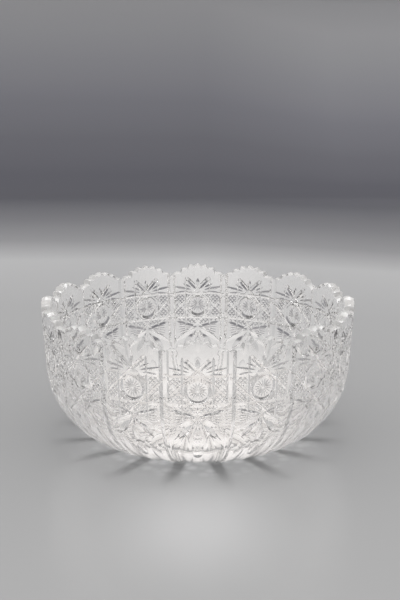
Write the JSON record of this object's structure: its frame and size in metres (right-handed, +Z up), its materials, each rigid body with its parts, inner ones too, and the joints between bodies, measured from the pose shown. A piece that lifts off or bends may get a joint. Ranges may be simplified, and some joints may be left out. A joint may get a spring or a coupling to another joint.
{
  "type": "punch bowl",
  "caption": "Clear cut-glass punch bowl with a scalloped, toothed rim, fluted panels of leaf and star cuts, and a star-cut base.",
  "frame": {"origin": "middle of the flat face that the bowl stands on", "axes": "+Z up along the bowl's axis; -Y points out of the middle of panel 1, the front in the picture"},
  "size_m": [0.305, 0.305, 0.14],
  "materials": {
    "crystal": "polished"
  },
  "bodies": {
    "root": {"star_base": "crystal", "wall_panel_01": "crystal", "wall_panel_02": "crystal", "wall_panel_03": "crystal", "wall_panel_04": "crystal", "wall_panel_05": "crystal", "wall_panel_06": "crystal", "wall_panel_07": "crystal", "wall_panel_08": "crystal", "wall_panel_09": "crystal", "wall_panel_10": "crystal", "wall_panel_11": "crystal", "wall_panel_12": "crystal", "wall_panel_13": "crystal", "wall_panel_14": "crystal", "wall_panel_15": "crystal", "wall_panel_16": "crystal"}
  },
  "joints": []
}
